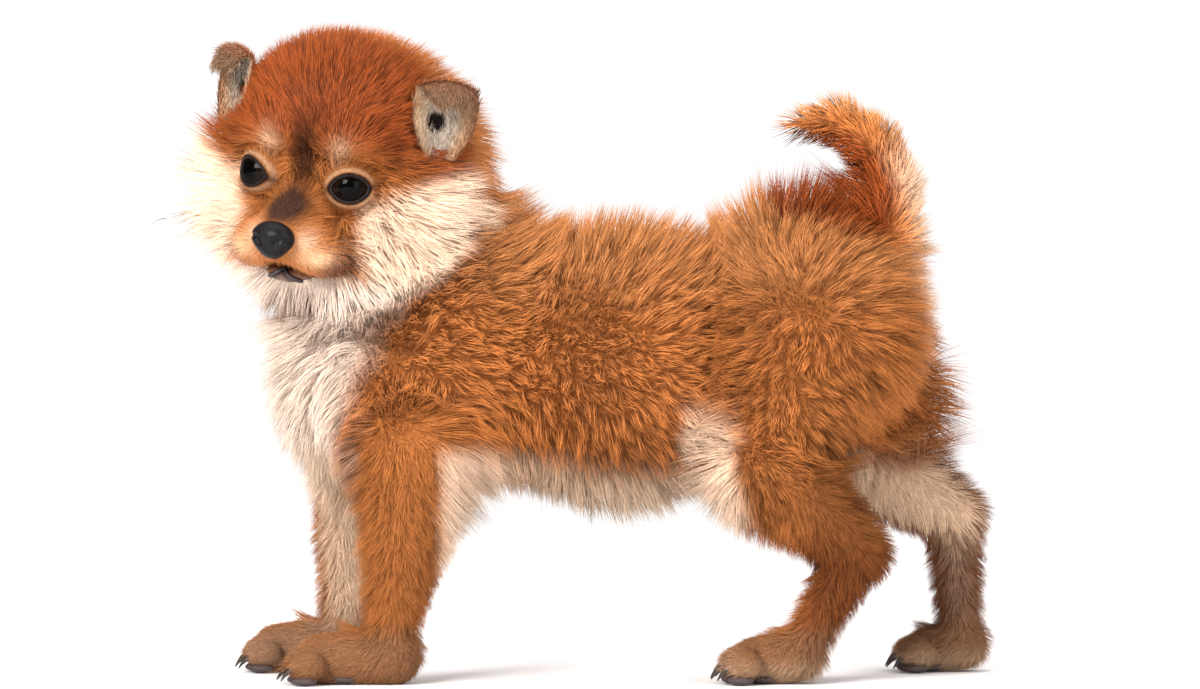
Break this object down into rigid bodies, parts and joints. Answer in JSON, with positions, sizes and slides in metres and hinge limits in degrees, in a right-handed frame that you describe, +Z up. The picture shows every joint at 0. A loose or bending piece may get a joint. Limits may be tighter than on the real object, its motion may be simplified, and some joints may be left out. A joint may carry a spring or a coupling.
{
  "type": "shiba inu puppy",
  "caption": "Still, life-size shiba inu puppy standing side on, its head turned to its left and its tail curled forward over the rump.",
  "frame": {"origin": "on the floor, under the middle of the puppy's length and width", "axes": "+X towards the hindquarters, so the puppy faces -X; +Y towards the puppy's right side; +Z up"},
  "size_m": [0.3258, 0.1306, 0.2598],
  "materials": {
    "coat": "dense, soft red and cream puppy fur",
    "nose_leather": "black, fine-grained and slightly moist",
    "eye": "wet and glossy, very dark brown"
  },
  "bodies": {
    "root": {"torso": "coat", "neck": "coat", "head": "coat", "ear_left": "coat", "ear_right": "coat", "tail_base": "coat", "tail_curl": "coat", "upper_foreleg_left": "coat", "forearm_left": "coat", "forepaw_left": "coat", "thigh_left": "coat", "lower_leg_left": "coat", "hind_foot_left": "coat", "upper_foreleg_right": "coat", "forearm_right": "coat", "forepaw_right": "coat", "thigh_right": "coat", "lower_leg_right": "coat", "hind_foot_right": "coat", "nose": "nose_leather", "eye_left": "eye", "eye_right": "eye"}
  },
  "joints": []
}
